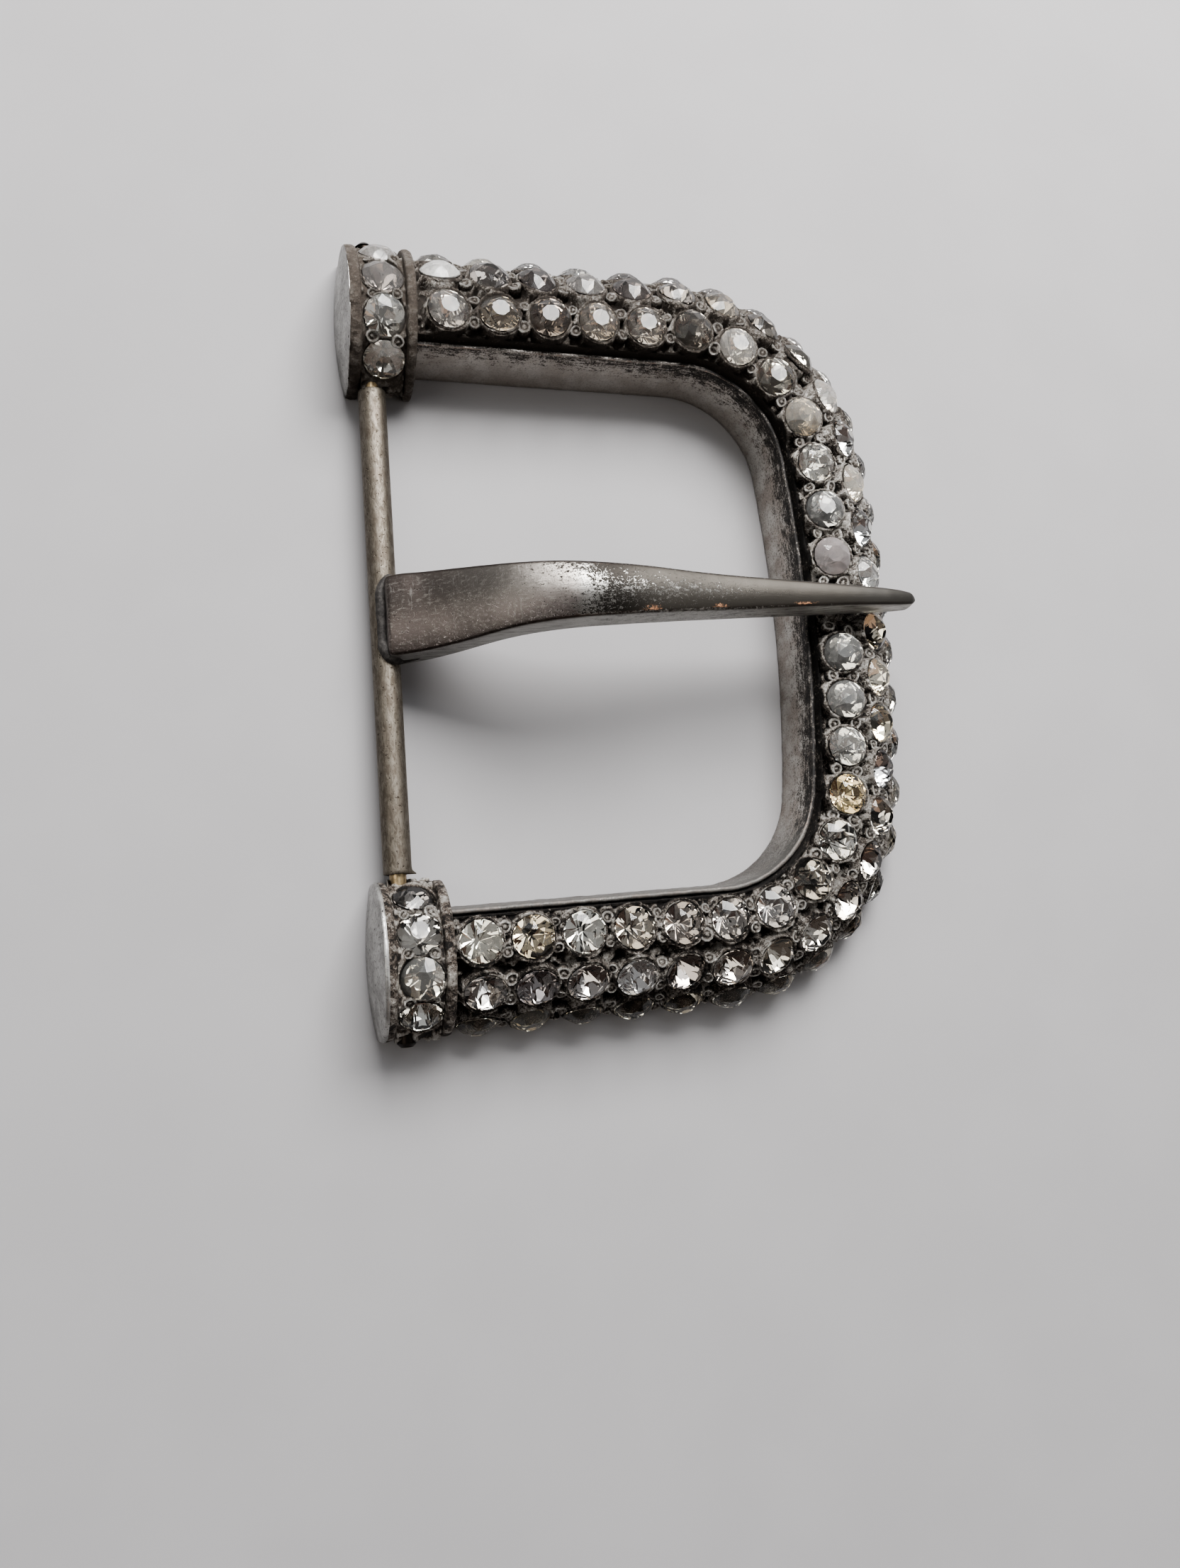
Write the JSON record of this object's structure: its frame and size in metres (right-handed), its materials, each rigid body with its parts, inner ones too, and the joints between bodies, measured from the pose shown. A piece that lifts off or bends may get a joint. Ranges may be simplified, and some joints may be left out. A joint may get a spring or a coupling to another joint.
{
  "type": "rhinestone belt buckle",
  "caption": "D-shaped cast belt buckle set with rows of round cut stones, with domed end caps and an arched tongue hinged on a rod.",
  "frame": {"origin": "middle of the overall box, within 0.2 mm, on the flat back", "axes": "+X from the strap bar to the middle of the far bar, +Y along the strap bar, +Z out of the flat back towards the stones"},
  "size_m": [0.0558, 0.0764, 0.0135],
  "materials": {
    "cast_metal": "cast white metal, black patina in the hollows, worn to grey on the raised edges",
    "rod_brass": "dull brown brass",
    "tongue_metal": "worn nickel plating, pitted, with warm metal on the sleeve",
    "stones": "clear cut glass with a silver foil back"
  },
  "bodies": {
    "buckle": {"frame": "cast_metal", "hinge_rod": "rod_brass", "inner_row_stones": "stones", "middle_row_stones": "stones", "outer_row_stones": "stones", "upper_cap_stones": "stones", "lower_cap_stones": "stones"},
    "swinging_tongue": {"tongue": "tongue_metal"}
  },
  "joints": [
    {"name": "tongue_hinge", "type": "hinge", "parent": "buckle", "child": "swinging_tongue", "pos_m": [-0.0247, 0, 0.0026], "axis": [0, -1, 0], "range_deg": [0, 148]}
  ]
}
